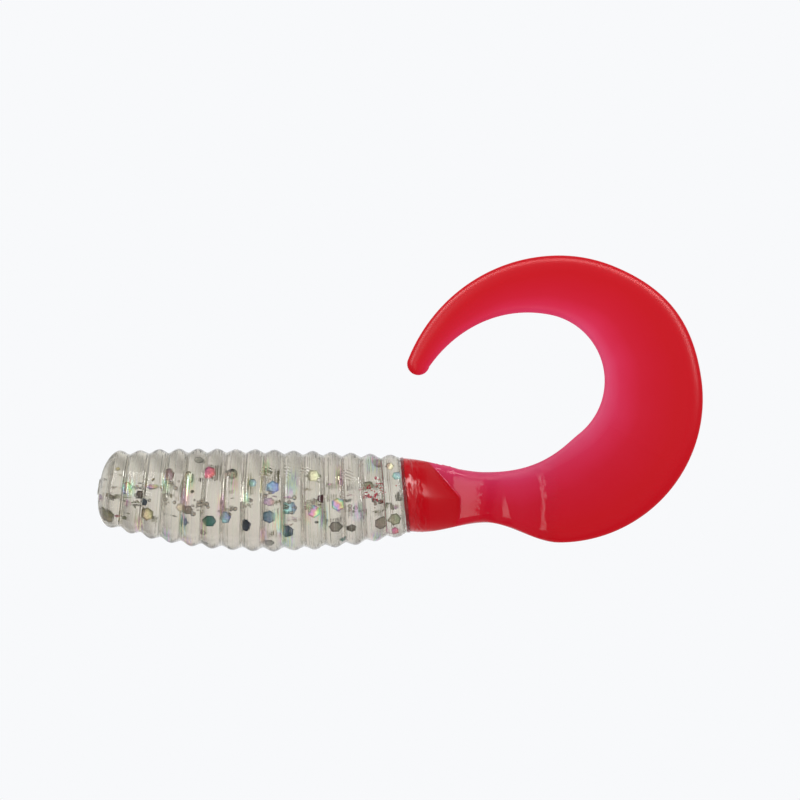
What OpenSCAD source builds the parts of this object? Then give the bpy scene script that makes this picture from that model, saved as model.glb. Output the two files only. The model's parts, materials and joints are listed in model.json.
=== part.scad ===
// Curl-tail grub, a soft plastic fishing lure: a clear ribbed body with glitter flakes cast
// inside it, and a red sickle tail moulded onto its rear face. Sizes are in millimetres.
// The origin is the middle of the flat on the nose, +X runs towards the tail and +Z is up.
// The tail lies in the XZ plane, and its thickness is along Y.

/* [Body] */
// Number of ribs along the body
rib_count = 15; // [9:1:21]
// Distance from one rib to the next along the body
rib_pitch = 1.54; // [1.3:0.01:1.8]
// Depth of the groove between two ribs
groove_depth = 0.33; // [0.2:0.01:0.4]
// Diameter over the first rib
nose_d = 6.0; // [5:0.1:7.5]
// Diameter over the thickest rib
belly_d = 7.9; // [7:0.1:10]
// Diameter over the last rib
rear_d = 6.4; // [6.4:0.1:7.5]
// Place of the thickest rib, from the first rib at 0 to the last at 1
belly_place = 0.5; // [0.3:0.05:0.7]
// Length of the domed nose ahead of the first rib
nose_length = 1.2; // [0.8:0.1:2]
// Diameter of the flat in the middle of the nose
nose_flat_d = 1.8; // [1.4:0.1:3]
// Diameter of the scar left on the nose where the mould's gate was cut off
gate_d = 1.2; // [0.8:0.1:1.3]
// Height of that scar
gate_h = 0.1; // [0.05:0.01:0.2]
// Length of the plain land between the last rib and the rear face
rear_land = 0.25; // [0.1:0.05:0.6]
// Upward tilt of the nose, in degrees
nose_tilt = 8.5; // [0:0.5:15]
// Bend of the body over its whole length, in degrees
body_bend = 14; // [2:0.5:25]

/* [Flakes] */
// Width of a large flake across its corners
large_flake_d = 1.0; // [0.6:0.05:1.2]
// Width of a medium flake across its corners
medium_flake_d = 0.65; // [0.4:0.05:0.8]
// Width of a small flake across its corners
small_flake_d = 0.3; // [0.2:0.05:0.4]
// Thickness of the foil that the flakes are cut from
foil_t = 0.05; // [0.03:0.01:0.1]
// Number of medium flakes that are scattered, beside those that are placed by hand
medium_flake_count = 26; // [10:1:50]
// Number of small flakes, all of them scattered
small_flake_count = 96; // [20:1:140]
// Lowest clock angle of the scattered flakes: 0 is level with the middle, -90 is straight below it
low_flake_angle = -60; // [-90:5:-20]
// Highest clock angle of the scattered flakes
high_flake_angle = 45; // [0:5:90]

/* [Tail stem] */
// Diameter of the tail's root, where it is bonded to the body
root_d = 5.7; // [4.5:0.1:5.7]
// Length over which the round root dies away into the flat stem
root_fairing_length = 4.3; // [3:0.1:4.6]
// The same length along the root's upper edge, where it ends sooner
root_top_fairing_length = 2.2; // [1.5:0.1:3]
// Distance from the rear face to the narrowest place of the stem
neck_length = 6.1; // [5.5:0.1:9]
// Drop of the stem's middle at its narrowest place, below the middle of the rear face
neck_drop = 0.2; // [0:0.05:0.6]
// Height of the stem at its narrowest place
neck_h = 3.9; // [3:0.1:5]
// Length of the stretch of the neck that bends
neck_flex = 2.4; // [1.6:0.1:3.2]

/* [Tail blade] */
// Radius of the blade's outer edge
curl_r = 11.1; // [10:0.05:12.5]
// Distance along X from the neck to the middle of the curl
curl_reach = 5.7; // [5:0.1:8]
// Height of the middle of the curl above the neck
curl_rise = 7.6; // [7:0.1:8.4]
// Radius of the eye inside the curl
eye_r = 5.2; // [4.4:0.1:5.8]
// Distance of the eye's middle from the middle of the curl, towards the body
eye_back = 1.7; // [1:0.1:2.6]
// Height of the eye's middle above the middle of the curl
eye_up = 1.4; // [0.8:0.1:2]
// Place round the curl where the rounded tip begins, in degrees above the horizontal
tip_angle = 166; // [140:1:168]
// Distance that the blade's outer edge has opened out by the tip
tip_flare = 1.0; // [0.5:0.05:1.8]
// Width of the blade where the rounded tip begins
tip_w = 1.75; // [1:0.1:2.2]
// Distance that the eye's edge has opened out where the stem joins it
neck_flare = 0.45; // [0:0.05:0.6]
// Bulge of the blade's outer edge on its upper shoulder
shoulder_bulge = 0.2; // [0:0.05:0.4]
// Thickness of the stem and of the blade along its rim
blade_t = 1.25; // [0.8:0.05:1.6]
// Thickness of the blade along its thin inner edge
inner_t = 0.75; // [0.5:0.05:1.2]
// Width of the rounded border along the blade's rim
rim_round = 1.2; // [0.6:0.1:1.6]
// Thickness of the blade at the tip
tip_t = 0.9; // [0.6:0.05:1.2]
// Place round the curl where the middle of the blade bends, in degrees
mid_flex_angle = 10; // [-10:1:40]
// Place round the curl where the tip bends, in degrees
tip_flex_angle = 95; // [80:1:120]
// Angle round the curl that each of these two bends takes up
flex_span_angle = 18; // [12:1:26]

/* [Hidden] */

// Facets of round solids
$fn = 64;
// Points round the body, sections to each rib and sections of the nose
body_points = 40;
rib_steps = 6;
nose_steps = 8;
// Least room between a flake and the surface of the body, or another flake
flake_gap = 0.12;
// Power that makes the dome of the nose leaner than an ellipse
nose_lean = 1.15;
// Points round a section of the tail
section_points = 20;
// Places round the curl where the eye's edge starts to open out towards the stem and the tip
neck_flare_angle = -60;
eye_flare_angle = 96;
// Place round the curl where the outer edge starts to open out towards the tip
tip_flare_angle = 90;
// Place round the curl of the shoulder's bulge, and the angle that it takes up on either side
shoulder_angle = 38;
shoulder_side_angle = 30;
// Place round the curl where the stem runs into it, straight below its middle
curl_start = -90;
// Slopes of the stem's upper and lower edges where they leave the root
root_top_slope = -0.05;
root_low_slope = -0.15;

function sq(x) = x * x;
function mix(a, b, t) = a + (b - a) * t;

// Cubic curve from a to b with slopes ma and mb per unit of t
function hermite(a, ma, b, mb, t) =
    a * (1 + 2 * t) * sq(1 - t) + ma * t * sq(1 - t) + b * sq(t) * (3 - 2 * t) - mb * sq(t) * (1 - t);

// Closed solid through sections of equally many points, which follow one another along the piece
module sweep(sections) {
    n = len(sections[0]);
    last = len(sections) - 1;
    sides = [for (i = [0 : last - 1]) for (k = [0 : n - 1]) let (
            a = i * n + k,
            b = i * n + (k + 1) % n
        ) each [[a, a + n, b], [b, a + n, b + n]]];
    front = [for (k = [1 : n - 2]) [0, k, k + 1]];
    back = [for (k = [1 : n - 2]) [0, k + 1, k] + last * n * [1, 1, 1]];
    polyhedron([for (s = sections) each s], concat(sides, front, back));
}

// The body's middle line: an arc that starts at the nose

body_length = rib_place(rib_count - 0.5) + rear_land;
bend_r = body_length * 180 / (PI * body_bend);

function tilt_at(s) = body_bend * s / body_length - nose_tilt;
function axis_at(s) = bend_r * [
    sin(tilt_at(s)) + sin(nose_tilt), 0, cos(nose_tilt) - cos(tilt_at(s))
];

// A point beside that line: up and away are across it
function beside_axis(s, away, up) =
    axis_at(s) + away * [0, 1, 0] + up * [-sin(tilt_at(s)), 0, cos(tilt_at(s))];

// Ribbed body

// Radius of a rib's crown at a place u, from the first rib at 0 to the last at 1
function crown_r(u) = u < belly_place
    ? mix(belly_d, nose_d, sq(1 - u / belly_place)) / 2
    : mix(belly_d, rear_d, sq((u - belly_place) / (1 - belly_place))) / 2;

// Place of a rib's crown along the body, and the share of the way along the ribs
function rib_place(i) = gate_h + nose_length + i * rib_pitch;
function rib_share(s) = min(1, max(0, (s - rib_place(0)) / (rib_pitch * (rib_count - 1))));

// The ribs are an even wave, from a crown down to a groove half a pitch away
function crown_drop(x) = groove_depth * sq(sin(180 * x / rib_pitch));

// The dome of the nose, from its flat at a = 0 to the first crown at 90
function nose_place(a) = gate_h + nose_length * (1 - pow(cos(a), nose_lean));
function nose_r(a) = mix(nose_flat_d / 2, crown_r(0), pow(sin(a), nose_lean));

// Sections of the body as [place along it, radius]: the nose, the ribs and the land at the rear
nose_sections = [for (k = [0 : nose_steps - 1]) let (a = 90 * k / nose_steps) [nose_place(a), nose_r(a)]];
rib_sections = [for (k = [0 : (rib_count - 1) * rib_steps + rib_steps / 2]) let (
        s = rib_place(k / rib_steps),
        from_crown = (k / rib_steps - round(k / rib_steps)) * rib_pitch
    ) [s, crown_r(rib_share(s)) - crown_drop(from_crown)]];
rear_section = [body_length, crown_r(1) - groove_depth];
body_sections = concat(nose_sections, rib_sections, [rear_section]);

module body_solid() {
    n = body_points;
    sweep([for (p = body_sections) [for (k = [0 : n - 1]) let (a = 360 * k / n)
        beside_axis(p[0], p[1] * cos(a), p[1] * sin(a))]]);
    // The gate's scar reaches into the nose, so that they make one solid
    rotate([0, 90 + nose_tilt, 0]) cylinder(d = gate_d, h = gate_h + nose_length / 2);
}

module ribbed_body() {
    color([0.76, 0.75, 0.69, 0.4]) difference() {
        body_solid();
        flakes(large_flakes_at);
        flakes(medium_flakes_at);
        flakes(small_flakes_at);
    }
}

// Glitter flakes: hexagons of foil that lie in the body in all directions

// Radius of the body under its grooves, and in the nose under its dome
function under_nose(s) = nose_r(acos(pow(1 - max(0, s - gate_h) / nose_length, 1 / nose_lean)));
function core_r(s) = let (r = crown_r(rib_share(s)) - groove_depth)
    s < rib_place(0) ? min(r, under_nose(s)) : r;

// How far out the middle of a flake may lie, so that its rim stays under the skin. One that lies along
// the skin can come closer to it than one that is tilted to it.
function flake_limit(s, r, tilt) =
    let (skin = min(core_r(s - r), core_r(s + r)) - flake_gap)
    max(0, sqrt(max(0, sq(skin) - sq(r * cos(tilt)))) - r * sin(tilt));

// A flake from its place along the body (0 to 1), its clock angle as the nose is seen (0 faces -Y,
// 90 is up), its share of the way out to the skin, and its three turns: its spin in its own plane, its
// lean (90 is upright) and its turn about the upright
function flake(along, clock, out, spin, lean, turn, d) =
    let (
        s = mix(gate_h + d / 2 + flake_gap, body_length - d / 2 - flake_gap, along),
        facing = abs(sin(lean) * cos(turn) * cos(clock) + cos(lean) * sin(clock)),
        away = out * flake_limit(s, d / 2, acos(min(1, facing)))
    )
    [beside_axis(s, -away * cos(clock), away * sin(clock)), [spin, lean, turn], d];

function is_clear(f, others) =
    len([for (o = others) if (norm(f[0] - o[0]) < (f[2] + o[2]) / 2 + flake_gap) 1]) == 0;

// Adds count flakes of one size to those that are placed, each clear of all the others. On the far
// side they lie closer to the middle.
function scatter(count, d, seed, placed) = count == 0 ? placed :
    let (
        draw = rands(0, 1, 6, seed),
        clock = mix(low_flake_angle, high_flake_angle, draw[1]),
        side_clock = draw[5] < 0.5 ? clock : 180 - clock / 2,
        f = flake(draw[0], side_clock, sqrt(draw[2]), 0, 180 * draw[4], 360 * draw[3], d),
        fits = is_clear(f, placed)
    )
    scatter(fits ? count - 1 : count, d, seed + 1, fits ? concat(placed, [f]) : placed);

// Flakes that show are placed by hand: along, clock, out, spin, lean and turn of each
function placed(rows, d) = [for (p = rows) flake(p[0], p[1], p[2], p[3], p[4], p[5], d)];

large_flakes_at = placed([
    // In the nose and behind it
    [0.00, 23, 0.90, 0, 80, 60], [0.02, -76, 0.85, 20, 110, 25], [0.07, 5, 1.00, 10, 88, -8],
    [0.15, -33, 1.00, 25, 100, 12], [0.21, 35, 0.90, 0, 75, 30], [0.28, 29, 1.00, 30, 80, -40],
    [0.27, -47, 0.75, 0, 115, 20],
    // Round the belly
    [0.35, 37, 1.00, 30, 75, 10], [0.36, -29, 1.00, 0, 120, 5], [0.41, -23, 1.00, 5, 105, -10],
    [0.48, -36, 0.95, 20, 110, 35], [0.57, 18, 1.00, 30, 88, 5], [0.56, -20, 1.00, 30, 100, 0],
    [0.62, -43, 1.00, 20, 105, -5], [0.63, -10, 0.85, 0, 95, 15],
    // Towards the rear
    [0.71, 35, 1.00, 0, 70, -10], [0.71, -14, 1.00, 30, 95, -8], [0.79, -6, 1.00, 30, 92, 10],
    [0.78, -38, 1.00, 0, 125, 0], [0.93, 76, 0.95, 10, 60, 30], [0.93, -45, 1.00, 30, 105, 8],
    [0.98, -40, 1.00, 10, 110, -8],
    // On the far side
    [0.48, 165, 0.70, 0, 60, 30], [0.86, 190, 0.60, 0, 120, 70], [0.21, 170, 0.65, 0, 75, 15]
], large_flake_d);

shown_medium_flakes = placed([
    [0.12, -3, 1.00, 0, 90, 45], [0.14, -13, 1.00, 0, 95, 25], [0.26, -14, 1.00, 10, 95, 10],
    [0.31, 58, 1.00, 0, 60, 10], [0.34, -49, 1.00, 0, 130, 0], [0.35, -76, 1.00, 20, 140, 10],
    [0.50, 23, 1.00, 0, 85, 20], [0.56, -1, 0.90, 10, 90, -10], [0.56, -64, 0.95, 0, 140, 0],
    [0.73, 3, 0.95, 20, 90, 30], [0.80, 26, 1.00, 30, 85, -25], [0.80, -68, 1.00, 0, 120, 10],
    [0.83, -44, 1.00, 30, 105, 0], [0.97, 56, 1.00, 0, 70, 20], [0.97, -76, 0.90, 30, 120, 0],
    [0.99, 34, 1.00, 10, 80, 5]
], medium_flake_d);

large_and_medium = scatter(
    medium_flake_count, medium_flake_d, 100, concat(large_flakes_at, shown_medium_flakes));
all_flakes = scatter(small_flake_count, small_flake_d, 1000, large_and_medium);
medium_flakes_at = [for (f = all_flakes) if (f[2] == medium_flake_d) f];
small_flakes_at = [for (f = all_flakes) if (f[2] == small_flake_d) f];

module flakes(places) {
    for (f = places)
        translate(f[0]) rotate([f[1][1], 0, f[1][2]]) rotate(f[1][0])
            cylinder(d = f[2], h = foil_t, center = true, $fn = 6);
}

module large_flakes() { color("silver") flakes(large_flakes_at); }
module medium_flakes() { color("silver") flakes(medium_flakes_at); }
module small_flakes() { color("silver") flakes(small_flakes_at); }

// Tail: flat sections swept from the root, along the stem and round the curl to the tip.
// A place q on it runs from 0 at the root to 1 at the neck, 2 where the curl starts, 3 where the
// rounded tip begins and 4 at the very end. Points of its outline are [x, z].

rear_middle = [axis_at(body_length).x, axis_at(body_length).z];
rear_tilt = tilt_at(body_length);
rear_up = [-sin(rear_tilt), cos(rear_tilt)];
neck_middle = rear_middle + [neck_length, -neck_drop];
curl_middle = neck_middle + [curl_reach, curl_rise];

// Upper and lower ends of the three upright sections that the stem runs through
root_ends = [rear_middle + root_d / 2 * rear_up, rear_middle - root_d / 2 * rear_up];
neck_ends = [neck_middle + [0, neck_h / 2], neck_middle - [0, neck_h / 2]];

function ray(angle) = [cos(angle), sin(angle)];

// Share of the way from one angle to another, 0 before the first
function opening(angle, from, to) = max(0, (angle - from) / (to - from));

function outer_r(angle) = curl_r + tip_flare * sq(opening(angle, tip_flare_angle, tip_angle))
    + shoulder_bulge * sq(cos(90 * min(1, abs(angle - shoulder_angle) / shoulder_side_angle)));

// The eye is a circle beside the middle of the curl, so its edge is at this distance from that middle
function eye_circle_r(angle) =
    let (offset = [-eye_back, eye_up], along = offset * ray(angle))
    along + sqrt(sq(eye_r) - offset * offset + sq(along));

// Distance that the eye's edge leaves its circle by the tip, so that the tip has its width
eye_flare = outer_r(tip_angle) - tip_w - eye_circle_r(tip_angle);

function eye_edge_r(angle) = eye_circle_r(angle)
    + eye_flare * sq(opening(angle, eye_flare_angle, tip_angle))
    + neck_flare * sq(opening(angle, neck_flare_angle, curl_start));

function curl_ends(angle) = [
    curl_middle + eye_edge_r(angle) * ray(angle), curl_middle + outer_r(angle) * ray(angle)
];
curl_start_ends = curl_ends(curl_start);

// Slope of the eye's edge where the stem meets it
slope_step = 0.5;
eye_start_slope = let (d = curl_ends(curl_start + slope_step)[0] - curl_start_ends[0]) d.y / d.x;

function stem_edge(a, slope_a, b, slope_b, t) = let (run = b.x - a.x)
    [mix(a.x, b.x, t), hermite(a.y, slope_a * run, b.y, slope_b * run, t)];

function stem_ends(q) = q <= 1
    ? [stem_edge(root_ends[0], root_top_slope, neck_ends[0], 0, q),
       stem_edge(root_ends[1], root_low_slope, neck_ends[1], 0, q)]
    : [stem_edge(neck_ends[0], 0, curl_start_ends[0], eye_start_slope, q - 1),
       stem_edge(neck_ends[1], 0, curl_start_ends[1], 0, q - 1)];

function curl_angle(q) = mix(curl_start, tip_angle, q - 2);
function curl_place(angle) = 2 + (angle - curl_start) / (tip_angle - curl_start);

// The rounded tip: the last section of the curl carried on along the blade and drawn in
tip_ends = curl_ends(tip_angle);
tip_half = norm(tip_ends[1] - tip_ends[0]) / 2;
tip_ahead = [tip_ends[0].y - tip_ends[1].y, tip_ends[1].x - tip_ends[0].x] / (2 * tip_half);

function cap_ends(q) = let (
        a = 90 * (q - 3),
        middle = (tip_ends[0] + tip_ends[1]) / 2 + tip_half * sin(a) * tip_ahead,
        across = (tip_ends[1] - tip_ends[0]) / 2 * cos(a)
    ) [middle - across, middle + across];

function section_ends(q) = q <= 2 ? stem_ends(q) : q <= 3 ? curl_ends(curl_angle(q)) : cap_ends(q);

// Half the thickness, at v across the blade from its inner edge at 0 to its rim at 1. The stem is
// even, the blade is a wedge, and the tip is even again.
function half_thickness(q, v) = let (wedge = mix(inner_t, blade_t, v))
    q <= 2 ? mix(blade_t, wedge, max(0, q - 1)) / 2
    : q <= 3 ? mix(wedge, tip_t, q - 2) / 2
    : tip_t / 2 * sqrt(max(0.02, cos(90 * (q - 3))));

// Width of the rounded border along the lower and outer edge: the stem's is as wide as it is deep
function border_w(q) = mix(blade_t / 2, rim_round, min(1, max(0, q - 1)));

// Share of the full thickness at a distance from an edge that is rounded over this width
function rounding(distance, width) = sqrt(1 - sq(1 - min(1, distance / width)));

// Share of the root's roundness that is left at q, across the stem from its upper edge at -1 to 1
function fairing(q, across) =
    let (length = mix(root_fairing_length, root_top_fairing_length, max(0, -across)))
    sqrt(max(0, 1 - sq(q * neck_length / length)));

// One section: the flat blade with its rounded edges, or the round root where that is thicker
function section(q) =
    let (
        ends = section_ends(q),
        middle = (ends[0] + ends[1]) / 2,
        half = (ends[1] - ends[0]) / 2,
        half_width = norm(half),
        root_r = min(root_d / 2, half_width)
    )
    [for (k = [0 : section_points - 1]) let (
            a = 360 * k / section_points,
            across = cos(a),
            t = half_thickness(q, (1 + across) / 2),
            border = min(across > 0 ? border_w(q) : t, half_width),
            flat = t * rounding(half_width * (1 - abs(across)), border),
            bulb = fairing(q, across) * sqrt(max(0, sq(root_r) - sq(across * half_width))),
            p = middle + across * half
        ) [p.x, sign(sin(a)) * max(flat, bulb), p.y]];

// A length of the tail from one place to another, with steps + 1 sections
module tail_length(from, to, steps) {
    sweep([for (i = [0 : steps]) section(mix(from, to, i / steps))]);
}

neck_start = 1 - neck_flex / 2 / neck_length;
neck_end = 1 + neck_flex / 2 / curl_reach;
mid_start = curl_place(mid_flex_angle - flex_span_angle / 2);
mid_end = curl_place(mid_flex_angle + flex_span_angle / 2);
tip_start = curl_place(tip_flex_angle - flex_span_angle / 2);
tip_end = curl_place(tip_flex_angle + flex_span_angle / 2);
// The cap stops just short of its vanishing end
cap_end = 3.95;

red = [0.80, 0.08, 0.14];

module tail_root() { color(red) tail_length(0, neck_start, 12); }
module tail_neck() { color(red) tail_length(neck_start, neck_end, 6); }
module tail_lower_blade() {
    color(red) union() {
        tail_length(neck_end, 2, 8);
        tail_length(2, mid_start, 12);
    }
}
module tail_mid_bend() { color(red) tail_length(mid_start, mid_end, 3); }
module tail_upper_blade() { color(red) tail_length(mid_end, tip_start, 9); }
module tail_tip_bend() { color(red) tail_length(tip_start, tip_end, 3); }
module tail_tip() {
    color(red) union() {
        tail_length(tip_end, 3, 8);
        tail_length(3, cap_end, 6);
    }
}

ribbed_body();
large_flakes();
medium_flakes();
small_flakes();
tail_root();
tail_neck();
tail_lower_blade();
tail_mid_bend();
tail_upper_blade();
tail_tip_bend();
tail_tip();
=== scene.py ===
# %% [markdown]
# # A soft plastic worm with a curled tail
# The real object is poured from plastisol, a soft vinyl, in two shots. The body is clear and full of
# glitter, and the tail is red. This lesson loads the measured solids first. Then it makes what the eye
# sees: a smooth ribbed body with air bubbles, one flowing tail, and flakes of holographic film.

# %% Load the measured solids
import json
import math
import random

import bmesh
import bpy
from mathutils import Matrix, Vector, noise
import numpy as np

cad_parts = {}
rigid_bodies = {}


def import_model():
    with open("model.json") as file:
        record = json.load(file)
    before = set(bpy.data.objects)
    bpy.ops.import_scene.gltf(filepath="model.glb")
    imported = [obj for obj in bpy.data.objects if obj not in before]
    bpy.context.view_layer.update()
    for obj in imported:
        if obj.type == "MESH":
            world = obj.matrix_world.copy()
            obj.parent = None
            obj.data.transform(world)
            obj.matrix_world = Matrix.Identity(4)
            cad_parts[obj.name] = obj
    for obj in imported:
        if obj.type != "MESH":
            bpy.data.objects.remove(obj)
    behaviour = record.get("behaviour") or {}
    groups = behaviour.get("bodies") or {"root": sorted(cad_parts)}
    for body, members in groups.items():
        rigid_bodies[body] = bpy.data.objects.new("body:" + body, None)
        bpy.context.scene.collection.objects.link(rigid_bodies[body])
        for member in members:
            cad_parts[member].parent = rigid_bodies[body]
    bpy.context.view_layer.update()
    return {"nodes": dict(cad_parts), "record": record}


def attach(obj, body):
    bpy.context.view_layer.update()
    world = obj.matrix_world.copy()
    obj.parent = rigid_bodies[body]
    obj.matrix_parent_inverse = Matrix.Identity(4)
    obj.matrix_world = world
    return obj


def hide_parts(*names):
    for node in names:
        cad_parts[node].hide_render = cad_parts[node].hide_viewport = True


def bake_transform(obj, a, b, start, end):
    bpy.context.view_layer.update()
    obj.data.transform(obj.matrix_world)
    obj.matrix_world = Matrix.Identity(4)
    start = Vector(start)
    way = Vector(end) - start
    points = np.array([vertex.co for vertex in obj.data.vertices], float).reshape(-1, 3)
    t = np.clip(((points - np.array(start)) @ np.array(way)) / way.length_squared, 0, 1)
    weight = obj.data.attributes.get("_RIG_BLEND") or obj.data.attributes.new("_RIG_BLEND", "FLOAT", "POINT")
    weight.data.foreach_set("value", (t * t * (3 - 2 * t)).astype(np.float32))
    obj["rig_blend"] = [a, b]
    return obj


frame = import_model()
print("solids:", len(frame["nodes"]))

# %% [markdown]
# ## Sizes of the body
# The solids were measured from a photo, and these surfaces follow the same numbers, in millimetres.
# Blender works in metres here, so the last step of every shape multiplies by one factor. The body is
# bent a little, so a point of it is given by its place s along the bent middle line.

# %% Sizes of the body
MM = 0.001
RIB_COUNT = 15
RIB_PITCH = 1.54
GROOVE_DEPTH = 0.30
NOSE_D, BELLY_D, REAR_D = 6.0, 7.9, 6.4
NOSE_LENGTH, NOSE_FLAT_D, NOSE_LEAN = 1.2, 1.8, 1.15
GATE_D, GATE_H = 1.2, 0.1
REAR_LAND = 0.25
NOSE_TILT, BODY_BEND = math.radians(8.5), math.radians(14)

FIRST_RIB = GATE_H + NOSE_LENGTH
BODY_LENGTH = FIRST_RIB + (RIB_COUNT - 0.5) * RIB_PITCH + REAR_LAND
BEND_R = BODY_LENGTH / BODY_BEND


def mix(a, b, t):
    return a + (b - a) * t


def tilt_at(s):
    return BODY_BEND * s / BODY_LENGTH - NOSE_TILT


def beside_axis(s, away, up):
    """A point of the body at s along its middle line, away and up across it, in mm."""
    tilt = tilt_at(s)
    x = BEND_R * (math.sin(tilt) + math.sin(NOSE_TILT)) - up * math.sin(tilt)
    z = BEND_R * (math.cos(NOSE_TILT) - math.cos(tilt)) + up * math.cos(tilt)
    return Vector((x, away, z))


print("body length:", round(BODY_LENGTH, 2), "mm, radius of its bend:", round(BEND_R, 1), "mm")

# %% [markdown]
# ## Helpers for every piece
# A finished piece is a mesh object that sits at the origin, with its place in its mesh. Edges that
# turn sharply stay sharp, and everything else is shaded smooth.

# %% Turn a bmesh into a piece
def finish_piece(bm, name, material, sharp_degrees=50):
    sharp = math.radians(sharp_degrees)
    for face in bm.faces:
        face.smooth = True
    for edge in bm.edges:
        edge.smooth = edge.calc_face_angle(0) < sharp
    mesh = bpy.data.meshes.new(name)
    bm.to_mesh(mesh)
    bm.free()
    mesh.materials.append(material)
    piece = bpy.data.objects.new(name, mesh)
    bpy.context.scene.collection.objects.link(piece)
    print(name, "has", len(mesh.polygons), "faces")
    return piece


# %% [markdown]
# ## Helpers for every material
# Colours are written as the hex values of a screen. The shader wants linear light, so one function
# turns them. Another adds a node, sets its fields and joins its inputs in one line.

# %% Colour and node helpers
def hex_colour(code):
    parts = [int(code[i:i + 2], 16) / 255 for i in (1, 3, 5)]
    linear = [c / 12.92 if c <= 0.04045 else ((c + 0.055) / 1.055) ** 2.4 for c in parts]
    return (*linear, 1.0)


def add_node(tree, kind, inputs=None, **settings):
    node = tree.nodes.new(kind)
    for key, value in settings.items():
        setattr(node, key, value)
    for key, value in (inputs or {}).items():
        if isinstance(value, bpy.types.NodeSocket):
            tree.links.new(value, node.inputs[key])
        else:
            node.inputs[key].default_value = value
    return node


def set_ramp(ramp_node, stops):
    ramp = ramp_node.color_ramp
    while len(ramp.elements) < len(stops):
        ramp.elements.new(0.5)
    for element, (place, code) in zip(ramp.elements, stops):
        element.position = place
        element.color = hex_colour(code)


def new_material(name):
    material = bpy.data.materials.new(name)
    material.use_nodes = True
    material.node_tree.nodes.clear()
    return material, material.node_tree


# %% [markdown]
# ## Clear plastisol
# Poured vinyl is clear with a smoky tint. Half of the tint lies in the skin, and half is an absorption
# inside the body, so that a thin place is paler. The mould was turned on a lathe, and the tool left
# fine rings that are deepest in the grooves. They are a bump that follows the place along the body,
# which the mesh carries. The pastel colours that the film throws through the skin are painted on the
# skin in tall streaks, as a painted reflection of the film, and there the skin is made a little metallic
# so that they shine like the film itself. Here and there a row of fine scuffs crosses a rib, and the
# whole skin is faintly pebbled.

# %% Rings, scuffs and bump of the clear plastisol
RING_PITCH, SCUFF_PITCH, PEBBLE_PITCH = 0.14, 0.24, 0.4
RING_HEIGHT, PEBBLE_SHARE = 0.06, 0.25
clear, tree = new_material("clear_plastisol_poured")
place = add_node(tree, "ShaderNodeTexCoord")
along_body = add_node(tree, "ShaderNodeAttribute", attribute_name="along_body")
groove = add_node(tree, "ShaderNodeAttribute", attribute_name="groove")
scuff = add_node(tree, "ShaderNodeAttribute", attribute_name="scuff")
rings = add_node(tree, "ShaderNodeTexNoise", {
    "W": along_body.outputs["Fac"], "Scale": 1 / RING_PITCH, "Detail": 2.0, "Roughness": 0.6},
    noise_dimensions="1D")
deeper = add_node(tree, "ShaderNodeMapRange", {
    "Value": groove.outputs["Fac"], "From Min": 0.15, "From Max": 0.6, "To Min": 0.30})
hairlines = add_node(tree, "ShaderNodeMapRange", {
    "Value": rings.outputs["Fac"], "From Min": 0.54, "From Max": 0.66, "To Max": 0.7})
hairlines = add_node(tree, "ShaderNodeMath", {
    0: hairlines.outputs["Result"], 1: deeper.outputs["Result"]}, operation="MULTIPLY")
rings = add_node(tree, "ShaderNodeMath", {
    0: rings.outputs["Fac"], 1: deeper.outputs["Result"]}, operation="MULTIPLY")
axes = add_node(tree, "ShaderNodeSeparateXYZ", {"Vector": place.outputs["Object"]})
slant = add_node(tree, "ShaderNodeMath", {0: axes.outputs["X"], 1: 0.35, 2: axes.outputs["Z"]},
                 operation="MULTIPLY_ADD")
turns = add_node(tree, "ShaderNodeMath", {
    0: slant.outputs["Value"], 1: math.tau / (SCUFF_PITCH * MM)}, operation="MULTIPLY")
lines = add_node(tree, "ShaderNodeMath", {0: turns.outputs["Value"]}, operation="SINE")
height = add_node(tree, "ShaderNodeMath", {
    0: lines.outputs["Value"], 1: scuff.outputs["Fac"], 2: rings.outputs["Value"]},
    operation="MULTIPLY_ADD")
pebbles = add_node(tree, "ShaderNodeTexNoise", {
    "Vector": place.outputs["Object"], "Scale": 1 / (PEBBLE_PITCH * MM), "Detail": 2.0})
height = add_node(tree, "ShaderNodeMath", {
    0: pebbles.outputs["Fac"], 1: PEBBLE_SHARE, 2: height.outputs["Value"]}, operation="MULTIPLY_ADD")
bump = add_node(tree, "ShaderNodeBump", {
    "Height": height.outputs["Value"], "Strength": 1.0, "Distance": RING_HEIGHT * MM})

# %% Tint and painted streaks of the clear plastisol
painted_sheen_hue = add_node(tree, "ShaderNodeAttribute", attribute_name="painted_sheen_hue")
painted_sheen = add_node(tree, "ShaderNodeAttribute", attribute_name="painted_sheen")
tall = add_node(tree, "ShaderNodeMapping", {
    "Vector": place.outputs["Object"], "Scale": (1 / (0.16 * MM), 1 / (2.0 * MM), 1 / (1.6 * MM))})
painted_streak_noise = add_node(tree, "ShaderNodeTexNoise", {
    "Vector": tall.outputs["Vector"], "Scale": 1.0, "Detail": 1.0})
hue = add_node(tree, "ShaderNodeMath", {
    0: painted_streak_noise.outputs["Fac"], 1: 1.6, 2: painted_sheen_hue.outputs["Fac"]}, operation="MULTIPLY_ADD")
hue = add_node(tree, "ShaderNodeMath", {0: hue.outputs["Value"]}, operation="FRACT")
strength = add_node(tree, "ShaderNodeMapRange", {
    "Value": painted_sheen.outputs["Fac"], "To Min": 0.03, "To Max": 0.34})
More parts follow.
